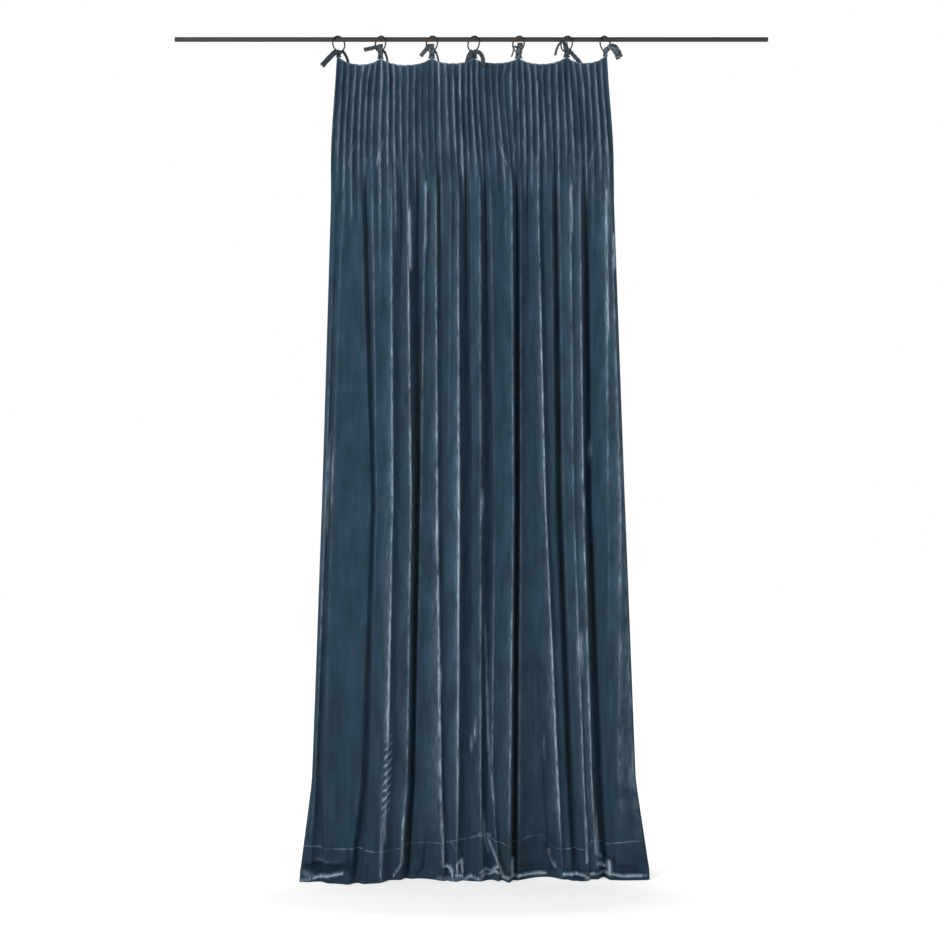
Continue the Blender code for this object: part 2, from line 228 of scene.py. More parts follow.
# Curtain panel
# One width of cotton velvet, cut 1.60 m by 2.83 m, gathered into 42 narrow pleats over a heading
# 0.29 m deep. Below it the pleats run together into flat-faced folds with creased crests, down to
# a stitched hem 0.13 m deep that breaks on the floor.
FLOOR_DROP = 2.850
FLAT_WIDTH = 1.60
FLAT_LENGTH = 2.83
CLOTH_THICKNESS = 0.002
PLEATS = 42
PLEAT_PITCH = 0.02177
PLEAT_SPREAD = 0.12
PLEAT_DEPTH = 0.0078
PLEAT_SHARPNESS = 1.5
PLEAT_LOOSENESS = 0.30
HEADING_LEFT = -0.4553
HEADING_TOP = 2.790
FULL_DROP = 2.80
COLUMNS_PER_PLEAT = 10
SURFACE_WAVES = 0.0012
CLOTH_SLACK = 0.05
TIE_PULL = 0.005
TIE_PULL_DROP = 0.045
HEM_STIFFNESS = 0.8
HEM_SPAN = 17

# Where each tie is sewn on: its pleat, how far the top edge lies below the rod's axis there, and
# how far that edge sags on its way to the next tie
TieSeat = namedtuple("TieSeat", "name pleat edge_drop sag")
TIE_SEATS = (
    TieSeat("1", 0.25, 0.057, 0.025),
    TieSeat("2", 6.75, 0.062, 0.025),
    TieSeat("3", 14.75, 0.061, 0.020),
    TieSeat("4", 21.25, 0.061, 0.019),
    TieSeat("5", 28.25, 0.061, 0.024),
    TieSeat("6", 35.75, 0.057, 0.024),
    TieSeat("7", 41.75, 0.054, 0.0),
)

# The crests and bottoms of the folds, in millimetres, from left to right: pleat, side-to-side place
# at four heights, place towards the front at three heights, the break of the foot, and how brightly
# the painted highlight of the crushed pile shines along the line at three heights
Fold = namedtuple("Fold", "name pleat upper middle lower floor out_upper out_middle out_floor foot"
                          " shine_upper shine_middle shine_lower")
FOLDS = (
    Fold("left_edge", 0.0, -476, -507, -541, -580, -4, -8, 2, 22, 0.1, 0.2, 0.3),
    Fold("edge_roll", 0.6, -463, -493, -529, -547, 4, 6, 16, 24, 0.0, 0.3, 0.1),
    Fold("edge_groove", 1.1, -450, -484, -512, -516, -2, -4, -4, 20, 0.0, 0.0, 0.0),
    Fold("panel_a_left", 1.8, -436, -473, -497, -488, 10, 10, 34, 16, 0.1, 0.1, 0.0),
    Fold("panel_a_right", 4.3, -373, -340, -373, -408, 12, 13, 42, 28, 0.1, 0.0, 0.0),
    Fold("groove_a", 5.1, -359, -330, -354, -386, -18, -4, 12, 26, 0.0, 0.0, 0.0),
    Fold("step_b", 6.1, -335, -321, -343, -364, 10, 11, 40, 20, 0.3, 0.1, 0.0),
    Fold("dip_b_left", 7.7, -288, -292, -308, -326, -2, 14, 38, 12, 0.0, 0.0, 0.0),
    Fold("rib_b_left", 8.4, -271, -266, -284, -303, 16, 24, 44, 0, 0.5, 0.7, 0.8),
    Fold("dip_b", 9.8, -236, -238, -253, -273, -12, -4, 10, -8, 0.0, 0.0, 0.0),
    Fold("rib_b_right", 10.8, -216, -203, -217, -239, 20, 24, 12, -8, 0.9, 0.5, 0.4),
    Fold("gap_b", 12.3, -182, -187, -205, -224, -26, -36, -38, 14, 0.0, 0.0, 0.0),
    Fold("step_c", 13.3, -157, -172, -190, -207, 8, -4, -16, 4, 0.4, 0.1, 0.0),
    Fold("dip_c", 14.0, -143, -148, -170, -176, -6, -8, -20, 0, 0.0, 0.0, 0.0),
    Fold("rib_c", 15.1, -120, -116, -103, -93, 14, 18, 4, 22, 0.5, 0.7, 0.6),
    Fold("groove_c", 15.7, -110, -101, -92, -84, -12, -4, -8, 16, 0.0, 0.0, 0.0),
    Fold("rib_c_mid", 17.0, -69, -80, -78, -72, 10, 8, 2, 16, 0.2, 0.0, 0.0),
    Fold("dip_c_right", 17.5, -57, -60, -60, -58, 2, 12, 6, 16, 0.0, 0.0, 0.0),
    Fold("rib_c_right", 18.1, -45, -42, -46, -49, 18, 22, 14, 14, 0.4, 1.0, 0.7),
    Fold("gap_c", 19.3, -19, -14, -17, -27, -26, -26, -12, 18, 0.0, 0.0, 0.0),
    Fold("step_d", 20.1, -3, 5, 0, -6, 4, -6, -4, 22, 0.1, 0.0, 0.0),
    Fold("rib_d", 21.3, 29, 31, 31, 36, 14, 14, 12, 12, 0.4, 0.2, 0.4),
    Fold("gap_d", 22.3, 48, 66, 45, 68, -22, -26, -12, 8, 0.0, 0.0, 0.0),
    Fold("rib_e_left", 23.2, 65, 79, 70, 92, 10, 8, 18, 10, 0.2, 0.0, 0.4),
    Fold("dip_e", 24.5, 103, 108, 88, 101, -3, 4, 0, 2, 0.0, 0.0, 0.0),
    Fold("rib_e", 25.8, 137, 142, 131, 127, 20, 24, 26, 22, 0.4, 0.3, 0.5),
    Fold("gap_e", 27.1, 152, 155, 149, 144, -30, -46, -44, 44, 0.0, 0.0, 0.0),
    Fold("rib_f", 28.1, 167, 167, 160, 157, 4, 4, -8, 24, 0.1, 0.1, 0.1),
    Fold("groove_f", 29.4, 191, 211, 238, 252, -16, -14, -54, 12, 0.0, 0.0, 0.0),
    Fold("rib_g_left", 30.9, 225, 250, 293, 308, 18, 22, -4, 2, 0.8, 0.8, 0.7),
    Fold("dip_g", 31.5, 238, 257, 305, 322, -6, 2, -10, 6, 0.0, 0.0, 0.0),
    Fold("rib_g_right", 32.6, 271, 282, 320, 340, 12, 8, -8, 22, 0.2, 0.0, 0.0),
    Fold("gap_g", 33.4, 285, 299, 336, 357, -22, -30, -26, 38, 0.0, 0.0, 0.0),
    Fold("step_h", 34.1, 298, 312, 348, 369, 4, 6, 4, 18, 0.2, 0.1, 0.0),
    Fold("rib_h_left", 35.4, 334, 345, 380, 395, 12, 14, 4, 12, 0.5, 0.2, 0.6),
    Fold("dip_h", 36.0, 350, 357, 389, 405, 4, 10, -10, 0, 0.0, 0.0, 0.0),
    Fold("rib_h_right", 36.7, 367, 378, 407, 429, 20, 24, -2, 2, 0.5, 0.5, 0.7),
    Fold("gap_h", 37.9, 388, 393, 433, 452, -26, -34, -44, 4, 0.0, 0.0, 0.0),
    Fold("step_i", 38.7, 403, 410, 447, 467, 4, -2, -18, 22, 0.0, 0.0, 0.0),
    Fold("rib_i", 40.5, 454, 462, 474, 494, 16, 10, -8, 14, 0.7, 0.1, 0.0),
    Fold("right_crest", 41.3, 472, 506, 497, 522, 8, 12, 2, 10, 0.5, 0.35, 0.1),
    Fold("edge_crest", 41.7, 478, 514, 551, 594, 2, 4, -4, 12, 0.1, 0.2, 0.2),
    Fold("right_edge", 42.0, 483, 520, 558, 604, -4, -6, -14, 10, 0.0, 0.1, 0.1),
)

# Heights above the floor, in metres, that the table's columns belong to
UPPER, MIDDLE, LOWER, FOOT = 2.305, 1.288, 0.337, 0.033

# Heights where the pleats start to drift towards the folds, where they are whole, where the heading
# ends, where they have run together, and where the neck below them ends. A pleat runs out at its own
# height, from PLEAT_END down
PLEATS_DRIFT = 2.74
PLEATS_WHOLE = 2.52
HEADING_FOOT = 2.50
PLEATS_MERGED = 2.28
NECK_FOOT = 1.7
PLEAT_END = 2.34
PLEAT_END_SPREAD = 0.42
PLEAT_JOIN_DEPTH = 0.11

# How much of the foot's forward break has been reached at a height
FOOT_BREAK = ((0.0016, 1.0), (0.009, 0.75), (0.025, 0.42), (0.060, 0.12), (0.150, 0.02), (0.340, 0.0))

# How strongly the painted highlights on the crushed lines of the folds shine at a height, their
# width, and the width and share of the soft painted light on the left side of each line
LINE_SHINE = ((0.12, 0.2), (0.26, 1.2), (0.9, 1.25), (1.6, 1.05), (2.3, 0.80))
LINE_WIDTH = 0.0042
GLOW_WIDTH = 0.013
GLOW_SHARE = 0.30

# How brightly a pleat's painted crest highlight shines: at least, more by its luck, and as it wanders
# on its way down. Then the painted tick where two pleats join, its half width in pleats, and the
# painted highlight along the turned top edge
CREST_SHINE = 0.24
CREST_LUCK = 0.36
CREST_WANDER = 0.35
JOIN_SHINE = 0.55
JOIN_WIDTH = 0.12
EDGE_SHINE = 0.45

# Bands of rows from the heading down: height at the band's top, and the spacing of its rows
Band = namedtuple("Band", "top spacing")
BANDS = (
    Band(2.700, 0.040),
    Band(2.540, 0.014),
    Band(2.280, 0.020),
    Band(2.000, 0.060),
    Band(0.500, 0.036),
    Band(0.200, 0.0065),
    Band(0.050, 0.0037),
)
TOP_ROWS = (0.0, 0.0022, 0.005, 0.010, 0.018, 0.030, 0.050)
TURNED_EDGE = 0.003
LAST_HEIGHT = 0.0016

# Creases, crumples and rolled edges as they show from the front, in millimetres from the middle and
# up from the floor: where each starts and ends, half its width, how far it stands out, and the light
# painted on it, from -1, painted shade, to 1, a painted highlight where the pile is also crushed
Crease = namedtuple("Crease", "from_side from_height to_side to_height width push shine")
CREASES = (
    # The rolled edge at the left and the hollow above it
    Crease(-578, 6, -530, 13, 4, 5, 0.7),
    Crease(-530, 14, -436, 33, 4, 8, 1.0),
    Crease(-565, 30, -540, 18, 8, 3, 0.45),
    Crease(-555, 50, -412, 55, 14, -10, -0.95),
    Crease(-390, 145, -392, 28, 8, -5, -0.8),
    Crease(-414, 108, -410, 34, 7, -3, -0.75),
    Crease(-535, 72, -450, 66, 5, 3, 0.12),
    Crease(-520, 32, -440, 47, 7, -8, -0.9),
    Crease(-500, 7, -440, 12, 5, -2, -0.5),
    # Two faint lines below the ticks
    Crease(-303, 215, -306, 20, 3, 1, 0.28),
    Crease(-289, 215, -291, 134, 3, 1, 0.3),
    # The turned foot of the second rib, and the curled foot beside it
    Crease(-230, 200, -236, 60, 4, 2, 0.5),
    Crease(-236, 60, -262, 18, 4, 3, 0.6),
    Crease(-158, 110, -165, 42, 6, -4, -1.0),
    Crease(-165, 42, -185, 15, 6, -4, -1.0),
    # The crumples and the standing loop left of the middle
    Crease(-99, 200, -95, 55, 4, 2, 0.7),
    Crease(-97, 62, -90, 50, 4, 4, 0.7),
    Crease(-90, 50, -72, 46, 5, 8, 1.0),
    Crease(-72, 46, -65, 33, 6, 8, 1.0),
    Crease(-65, 33, -64, 18, 4, 6, 0.7),
    Crease(-70, 136, -52, 105, 4, 2, 0.2),
    Crease(-47, 32, -49, 48, 3, 7, 0.8),
    Crease(-49, 48, -45, 64, 3, 7, 0.9),
    Crease(-45, 64, -32, 67, 4, 7, 0.95),
    Crease(-32, 67, -33, 50, 4, 7, 0.9),
    Crease(-33, 50, -29, 28, 4, 7, 0.95),
    Crease(-51, 22, -33, 17, 5, 7, 1.0),
    Crease(-40, 54, -39, 34, 3, -4, -0.7),
    Crease(-110, 8, -30, 8, 7, 3, 0.3),
    Crease(-20, 6, -5, 18, 4, 5, 0.8),
    Crease(-5, 18, 28, 8, 4, 5, 0.8),
    Crease(-100, 20, -72, 16, 6, -3, -0.5),
    Crease(-60, 34, -54, 22, 5, -4, -0.6),
    Crease(-24, 40, -22, 22, 7, -4, -0.5),
    # The forked crease in the middle and the crumple that it runs into
    Crease(30, 158, 60, 150, 5, 2, 0.6),
    Crease(56, 140, 94, 56, 4, 4, 0.6),
    Crease(94, 56, 106, 16, 5, 6, 0.8),
    Crease(42, 200, 43, 155, 4, 2, 0.5),
    Crease(44, 150, 56, 98, 4, 2, 0.35),
    Crease(31, 28, 47, 41, 4, 5, 0.6),
    Crease(47, 41, 66, 30, 4, 5, 0.7),
    Crease(66, 30, 79, 41, 4, 6, 0.8),
    Crease(79, 41, 94, 55, 4, 8, 0.95),
    Crease(34, 15, 44, 25, 4, 4, 0.6),
    Crease(44, 25, 63, 22, 4, 4, 0.7),
    Crease(63, 22, 82, 33, 4, 6, 0.9),
    Crease(82, 33, 98, 27, 4, 6, 0.9),
    Crease(52, 30, 62, 27, 3, -4, -0.6),
    Crease(84, 42, 93, 38, 3, -4, -0.6),
    Crease(104, 60, 118, 32, 8, -4, -0.6),
    # The lip along the floor, with two teeth and a rolled loop
    Crease(106, 14, 165, 15, 4, 6, 0.8),
    Crease(165, 15, 254, 15, 4, 6, 1.0),
    Crease(139, 64, 138, 20, 6, 9, 1.0),
    Crease(160, 45, 240, 42, 12, -7, -0.6),
    Crease(263, 96, 270, 65, 4, 2, 0.5),
    Crease(270, 65, 286, 40, 4, 2, 0.6),
    Crease(256, 110, 272, 28, 6, -3, -0.7),
    Crease(300, 50, 312, 34, 8, -4, -0.7),
    Crease(312, 33, 400, 33, 5, -3, -0.6),
    Crease(314, 19, 345, 22, 4, 7, 0.95),
    Crease(345, 22, 379, 22, 4, 7, 0.95),
    Crease(379, 22, 398, 8, 4, 6, 0.8),
    Crease(352, 11, 378, 11, 4, -4, -0.8),
    Crease(388, 200, 392, 64, 4, 2, 0.6),
    Crease(420, 200, 426, 92, 6, 2, 0.7),
    Crease(426, 92, 440, 74, 5, 2, 0.5),
    Crease(430, 56, 454, 42, 5, 6, 0.85),
    Crease(468, 60, 470, 22, 6, 9, 1.0),
    Crease(452, 84, 482, 62, 8, -5, -0.8),
    Crease(486, 74, 488, 34, 7, -5, -0.8),
    Crease(400, 20, 460, 23, 4, 6, 0.7),
    Crease(460, 22, 510, 16, 4, 6, 0.95),
    Crease(510, 16, 590, 17, 4, 6, 0.9),
    Crease(500, 42, 560, 42, 13, -7, -0.6),
    Crease(112, 26, 136, 28, 6, -4, -0.6),
    Crease(150, 27, 244, 28, 6, -4, -0.8),
    Crease(150, 8, 236, 14, 5, -2, -0.5),
    Crease(405, 30, 458, 32, 5, -3, -0.5),
    Crease(488, 26, 584, 28, 6, -4, -0.7),
    Crease(410, 10, 590, 7, 5, -2, -0.5),
    # The groove right of the middle
    Crease(228, 700, 236, 520, 6, -3, -0.45),
    Crease(241, 520, 246, 380, 4, -4, -0.6),
    Crease(246, 380, 253, 226, 5, -4, -0.75),
    Crease(253, 226, 262, 110, 5, -4, -0.75),
    # Creases and crushed patches in the drop, painted as highlights
    Crease(46, 857, 58, 474, 4, 3, 0.5),
    Crease(58, 474, 76, 270, 4, 3, 0.45),
    Crease(15, 507, -2, 457, 4, 2, 0.5),
    Crease(246, 477, 248, 426, 3, 1, 0.35),
    Crease(366, 833, 368, 735, 9, 1, 0.55),
    Crease(-110, 700, -109, 676, 6, 1, 0.8),
    Crease(34, 1307, 36, 1250, 4, 1, 0.6),
    Crease(380, 1307, 384, 1243, 4, 1, 0.6),
    Crease(402, 1470, 404, 1436, 5, 1, 0.6),
    Crease(-117, 1190, -118, 1130, 4, 1, 0.7),
    Crease(-483, 1463, -490, 1219, 4, 1, 0.4),
    Crease(-470, 1440, -474, 1260, 3, 1, 0.35),
    # Crushed streaks below the heading, painted as highlights
    Crease(-212, 2274, -208, 2074, 5, 1, 0.9),
    Crease(-154, 2359, -156, 2145, 4, 1, 0.8),
    Crease(337, 2359, 340, 2186, 4, 1, 0.8),
    Crease(456, 2345, 462, 1863, 4, 1, 0.65),
    Crease(480, 2186, 484, 2067, 4, 1, 0.7),
)
# How much brighter a crease's painted highlight shines than its row says
CREASE_GLOW = 1.25

# The hem's stitching across the panel: millimetres from the middle, and up from the floor
HEM_STITCH = (
    (-600, 120), (-545, 118), (-500, 113), (-440, 113), (-385, 115), (-330, 103), (-305, 105), (-270, 104),
    (-215, 118), (-175, 125), (-97, 126), (-45, 140), (-20, 137), (30, 156), (60, 150), (70, 140),
    (120, 122), (165, 131), (200, 143), (240, 143), (260, 117), (283, 104), (345, 107), (392, 105),
    (405, 131), (425, 133), (455, 120), (520, 130), (600, 133),
)

# A crest whose painted highlight, on crushed pile, breaks into short ticks: millimetres from the
# middle, and up from the floor
TICKED_CREST = ((-304, 0), (-299, 150), (-292, 240), (-284, 361), (-278, 560))
TICKS_TOP = 0.54
TICKS_FOOT = 0.18
TICK_FADE_UP = 0.12
TICK_FADE_DOWN = 0.09
TICK_REACH = 0.012
TICK_SPACING = 0.022
TICK_SLANT = math.radians(-38)

fold_field = {name: np.array([getattr(fold, name) for fold in FOLDS], float) for name in Fold._fields[1:]}
LINES = fold_field["pleat"]


def ease(share):
    """Eases a share in and out between 0 and 1."""
    share = np.clip(share, 0.0, 1.0)
    return share * share * (3.0 - 2.0 * share)


def at_height(height, table):
    """The value that a table of heights and values gives at a height."""
    heights, values = zip(*table)
    return float(np.interp(height, heights, values))


def tie_span(pleat):
    """The tie to the left of each pleat, and the pleat's share of the way to the next tie."""
    at = np.array([seat.pleat for seat in TIE_SEATS])
    span = np.clip(np.searchsorted(at, pleat, side="right") - 1, 0, len(TIE_SEATS) - 2)
    return span, np.clip((pleat - at[span]) / (at[span + 1] - at[span]), 0.0, 1.0)


def top_edge(pleat):
    """The top edge hangs in a shallow swag between one tie and the next."""
    drop = np.interp(pleat, [seat.pleat for seat in TIE_SEATS], [seat.edge_drop for seat in TIE_SEATS])
    span, share = tie_span(pleat)
    sag = np.array([seat.sag for seat in TIE_SEATS])[span]
    return -(drop + sag * np.sin(math.pi * share) ** 0.8)


def along_height(height, *names):
    """Blends table columns that belong to the foot, lower, middle and upper heights."""
    levels = {3: (LOWER, MIDDLE, UPPER), 4: (FOOT, LOWER, MIDDLE, UPPER)}[len(names)]
    table = np.stack([fold_field[name] for name in names])
    return np.array([np.interp(height, levels, line) for line in table.T])


def fold_lines(height, forward):
    """Side-to-side and outward places of every fold's line at one height, in metres."""
    side = along_height(height, "floor", "lower", "middle", "upper") * MM
    spread = np.clip((MIDDLE - height) / MIDDLE, 0.0, 1.0) ** 1.8
    rise = np.clip((height - MIDDLE) / (UPPER - MIDDLE), 0.0, 1.0)
    out = fold_field["out_middle"] * (1.0 - spread - rise)
    out += fold_field["out_floor"] * spread + fold_field["out_upper"] * rise
    return side, (out + forward * fold_field["foot"]) * MM


def wander(pleat, height, seed):
    """A soft, seeded unevenness, from about -1 to 1, made of a few slow waves."""
    total = 0.0 * pleat
    for wave in range(1, 6):
        across = 0.37 * wave + 0.13 * math.sin(seed * wave)
        down = 0.9 * wave + 0.5 * math.cos(seed + wave)
        total = total + np.sin(across * pleat + down * height + seed * 1.7 * wave) / wave ** 0.7
    return total / 2.6


def pleat_strength(pleat, height):
    """How much of each pleat is left, and its luck: some run out just below the heading."""
    number = np.round(pleat)
    luck = np.sin(number * 12.9898 + 4.1) * 43758.5453
    luck = luck - np.floor(luck)
    end = PLEAT_END - PLEAT_END_SPREAD * luck ** 2
    left = ease((height - end) / (PLEATS_WHOLE - end))
    return left * (0.75 + 0.25 * wander(number, height, 2.7)), luck


def folds_alone(pleat, height, forward):
    """Side-to-side and outward places of the cloth between the lines of the table's folds."""
    line_side, line_out = fold_lines(height, forward)
    span = np.clip(np.searchsorted(LINES, pleat, side="right") - 1, 0, len(FOLDS) - 2)
    share = (pleat - LINES[span]) / (LINES[span + 1] - LINES[span])
    fall = line_out[span + 1] - line_out[span]
    # Near the neck a fold's flanks are full, and lower down they are hollow beside its crest
    neck = ease((height - NECK_FOOT) / (UPPER - NECK_FOOT))
    hollow = 1.0 + (0.7 - 1.1 * neck) * ease(np.abs(fall) / 0.02)
    progress = np.where(fall > 0.0, share ** hollow, 1.0 - (1.0 - share) ** hollow)
    width = line_side[span + 1] - line_side[span]
    slack = CLOTH_SLACK * np.clip(width - 0.5 * np.abs(fall), 0.0, None)
    out = line_out[span] + fall * progress - slack * 4.0 * share * (1.0 - share)
    return np.interp(pleat, LINES, line_side), out


def heading_side(pleat, height):
    """Side-to-side places of the heading's pleats, which spread and loosen on their way down."""
    pitch = PLEAT_PITCH * (1.0 + PLEAT_SPREAD * (HEADING_TOP - height))
    loose = PLEAT_LOOSENESS * ease((HEADING_TOP - height) / 0.06) * np.sin(math.pi * pleat / PLEATS) ** 0.3
    uneven = pleat + loose * wander(pleat, 0.6 * height, 5.1)
    return HEADING_LEFT + PLEAT_PITCH * PLEATS / 2 + pitch * (uneven - PLEATS / 2)


def cloth_shine(pleat, height, heading, off_crest):
    """Painted highlights on crushed pile: the folds' lines, lit on their left, the pleats, and their joins.
    """
    line_shine = along_height(height, "shine_lower", "shine_middle", "shine_upper")
    off_line = (pleat[:, None] - LINES[None, :]) * FLAT_WIDTH / PLEATS
    bright_line = np.exp(-(off_line / LINE_WIDTH) ** 2)
    # Painted light: a soft glow on the left side of each line, where its flank faces the light
    glow = np.where(off_line < 0.0, GLOW_SHARE * np.exp(off_line / GLOW_WIDTH), 0.0)
    fold_shine = (line_shine * np.maximum(bright_line, glow)).max(axis=1) * (1.0 - heading)
    fold_shine = fold_shine * at_height(height, LINE_SHINE)
    strength, luck = pleat_strength(pleat, height)
    crest_highlight = CREST_SHINE + CREST_LUCK * luck
    crest_highlight = crest_highlight + CREST_WANDER * wander(np.round(pleat), 3.0 * height, 8.3)
    pleat_shine = strength * np.clip(1.0 - 1.7 * off_crest, 0.0, 1.0) ** 1.5 * np.clip(crest_highlight, 0.1, 1.0)
    # Below the heading each pair of pleats leans together, and a short painted highlight marks where they
    # meet
    run_together = np.clip((PLEATS_WHOLE - height) / PLEAT_JOIN_DEPTH, 0.0, 1.0)
    pair = np.floor(pleat / 2.0)
    towards = np.where(pair % 2 == 0, run_together, 1.0 - run_together)
    near_join = np.exp(-((pleat - 2.0 * pair - 0.5 - towards) / JOIN_WIDTH) ** 2)
    join_shine = JOIN_SHINE * near_join * ease(4.0 * run_together * (1.0 - run_together)) * luck
    turned_edge_highlight = np.full_like(pleat, EDGE_SHINE if HEADING_TOP - height < TURNED_EDGE else 0.0)
    return np.maximum.reduce([fold_shine, pleat_shine, join_shine, turned_edge_highlight])


def sheet_row(pleat, height, forward):
    """Side-to-side place, outward place and shine of one row of the cloth."""
    side, out = folds_alone(pleat, height, forward)
    heading = ease((height - PLEATS_MERGED) / (HEADING_FOOT - PLEATS_MERGED))
    drift = ease((height - PLEATS_MERGED) / (PLEATS_DRIFT - PLEATS_MERGED))
    side = drift * heading_side(pleat, height) + (1.0 - drift) * side
    off_crest = np.abs(pleat - np.round(pleat)) * 2.0
    ripple = (1.0 - off_crest) ** PLEAT_SHARPNESS * 2.0 - 0.85
    sewn_flat = 0.45 + 0.55 * ease((HEADING_TOP - height) / 0.05)
    out = (1.0 - heading) * out + PLEAT_DEPTH * pleat_strength(pleat, height)[0] * ripple * sewn_flat
    out += SURFACE_WAVES * wander(pleat, height, 1.3) * (0.4 + 0.6 * (1.0 - heading))
    return side, out, cloth_shine(pleat, height, heading, off_crest)


def row_heights():
    """Heights of the rows, from just below the top edge to the floor, closer where it folds more."""
    heights = []
    limits = [band.top for band in BANDS[1:]] + [LAST_HEIGHT]
    for band, limit in zip(BANDS, limits):
        count = max(1, round((band.top - limit) / band.spacing))
        heights += [band.top - (band.top - limit) * step / count for step in range(count)]
    return heights + [LAST_HEIGHT]


pleat = np.linspace(0.0, PLEATS, PLEATS * COLUMNS_PER_PLEAT + 1)
edge = top_edge(pleat)
tie_share = tie_span(pleat)[1]
hem_smoothing = np.hanning(HEM_SPAN) / np.hanning(HEM_SPAN).sum()
rows, shines = [], []


def lay_row(height, up):
    """Adds one row of the cloth at a height of the table, its points so far up from the rod."""
    forward = at_height(height, FOOT_BREAK)
    side, out, shine = sheet_row(pleat, height, forward)
    stiff_hem = HEM_STIFFNESS * forward
    smooth = np.convolve(np.pad(out, HEM_SPAN // 2, mode="edge"), hem_smoothing, "valid")
    out = (1.0 - stiff_hem) * out + stiff_hem * smooth
    fading = math.exp(-(HEADING_TOP - height) / TIE_PULL_DROP)
    drawn = TIE_PULL * np.sin(2.0 * math.pi * tie_share) * fading
    rows.append(np.stack([side - drawn, -out, up], axis=1))
    shines.append(shine)


for below in TOP_ROWS:
    lay_row(HEADING_TOP - below, edge - below)
for height in row_heights():
    lay_row(height, np.full_like(edge, height - FLOOR_DROP))
points = np.stack(rows)
shine_map = np.stack(shines)
shade_map = np.zeros_like(shine_map)

across, above = points[:, :, 0], points[:, :, 2] + FLOOR_DROP
# Each crease pushes the cloth, and paints its highlight into the shine map or its shade into the shade map
for crease in CREASES:
    start = np.array((crease.from_side, crease.from_height)) * MM
    run = np.array((crease.to_side, crease.to_height)) * MM - start
    along = np.clip(((across - start[0]) * run[0] + (above - start[1]) * run[1]) / run.dot(run), 0.0, 1.0)
    away = np.hypot(across - start[0] - along * run[0], above - start[1] - along * run[1])
    near = np.exp(-(away / (crease.width * MM)) ** 2)
    points[:, :, 1] -= crease.push * MM * near
    shine_map = np.maximum(shine_map, CREASE_GLOW * crease.shine * near)
    shade_map = np.maximum(shade_map, -crease.shine * near)

hem_places, hem_heights = np.array(HEM_STITCH).T * MM
stitch_map = above - np.interp(across, hem_places, hem_heights)
tick_places, tick_heights = np.array(TICKED_CREST).T * MM
off_ticks = across - np.interp(above, tick_heights, tick_places)
tick_map = np.exp(-(off_ticks / TICK_REACH) ** 4)
tick_map *= ease((TICKS_TOP - above) / TICK_FADE_UP) * ease((above - TICKS_FOOT) / TICK_FADE_DOWN)
shine_map = shine_map * (1.0 - 0.75 * tick_map)

select_nothing()
bpy.ops.mesh.primitive_grid_add(x_subdivisions=len(pleat) - 1, y_subdivisions=len(rows) - 1, size=2.0)
curtain = active_piece("velvet_panel")
ordered = points[::-1].reshape(-1, 3)
curtain.data.vertices.foreach_set("co", ordered.astype(np.float32).ravel())
for name, values in (("shine", shine_map), ("shade", shade_map), ("above_stitch", stitch_map),
                     ("ticks", tick_map)):
    layer = curtain.data.attributes.new(name, "FLOAT", "POINT")
    layer.data.foreach_set("value", values[::-1].astype(np.float32).ravel())
corner = np.empty(len(curtain.data.loops), np.int32)
curtain.data.loops.foreach_get("vertex_index", corner)
flat_u = np.tile(pleat / PLEATS, len(rows))
flat_v = (ordered[:, 2] + FLOOR_DROP) / FULL_DROP
curtain.data.uv_layers["UVMap"].data.foreach_set(
    "uv", np.stack([flat_u[corner], flat_v[corner]], axis=1).astype(np.float32).ravel())
curtain.data.update()
curtain.data.shade_smooth()
thicken = curtain.modifiers.new("cloth thickness", "SOLIDIFY")
thicken.thickness = CLOTH_THICKNESS
thicken.offset = 0.0
thicken.use_even_offset = True
bpy.context.view_layer.objects.active = curtain
bpy.ops.object.modifier_apply(modifier=thicken.name)
# The cloth has two skins, one after the other in its list of points: the one behind is its back
vertex_places = np.empty(3 * len(curtain.data.vertices), np.float32)
curtain.data.vertices.foreach_get("co", vertex_places)
skins = vertex_places.reshape(2, -1, 3)
behind = skins[:, :, 1] > skins[::-1, :, 1]
layer = curtain.data.attributes.new("back", "FLOAT", "POINT")
layer.data.foreach_set("value", behind.astype(np.float32).ravel())

# Cotton velvet: a dense short pile, pale at a glancing angle. Its colour holds painted highlights on
# crests and creases, where the pile is also crushed, and painted shade in hollows and low down
velvet, tree, shader = new_material("cotton_velvet", {
    "Roughness": 0.9, "Specular IOR Level": 0.12, "Sheen Weight": 0.22, "Sheen Roughness": 0.3,
    "Sheen Tint": hex_colour("#8FA9BD")})
flat_cloth = add_node(tree, "UVMap", uv_map="UVMap").outputs["UV"]
in_metres = add_node(tree, "Mapping", {
    "Vector": flat_cloth, "Scale": (FLAT_WIDTH, FLAT_LENGTH, 1.0)}).outputs["Vector"]

# The pile's unevenness, in changes to the metre across the cloth and down it: specks 4 mm wide and
# 45 mm long that break up the painted highlights, soft patches 38 mm by 170 mm, and tracks 7 mm wide
# where the pile is combed
Unevenness = namedtuple("Unevenness", "name across down detail roughness")
PILE_UNEVENNESS = (
    Unevenness("specks", 240.0, 22.0, 4.0, 0.65),
    Unevenness("patches", 26.0, 6.0, 3.0, 0.55),
    Unevenness("combing", 150.0, 5.0, 5.0, 0.65),
)
PILE_PER_METRE = 700.0
PILE_HEIGHT = 0.0006
GROUND_PER_METRE = 320.0

uneven = {}
for kind in PILE_UNEVENNESS:
    stretched = add_node(tree, "Mapping", {
        "Vector": in_metres, "Scale": (kind.across, kind.down, 1.0)}).outputs["Vector"]
    noise = add_node(tree, "TexNoise", {
        "Vector": stretched, "Scale": 1.0, "Detail": kind.detail, "Roughness": kind.roughness})
    uneven[kind.name] = noise.outputs["Fac"]

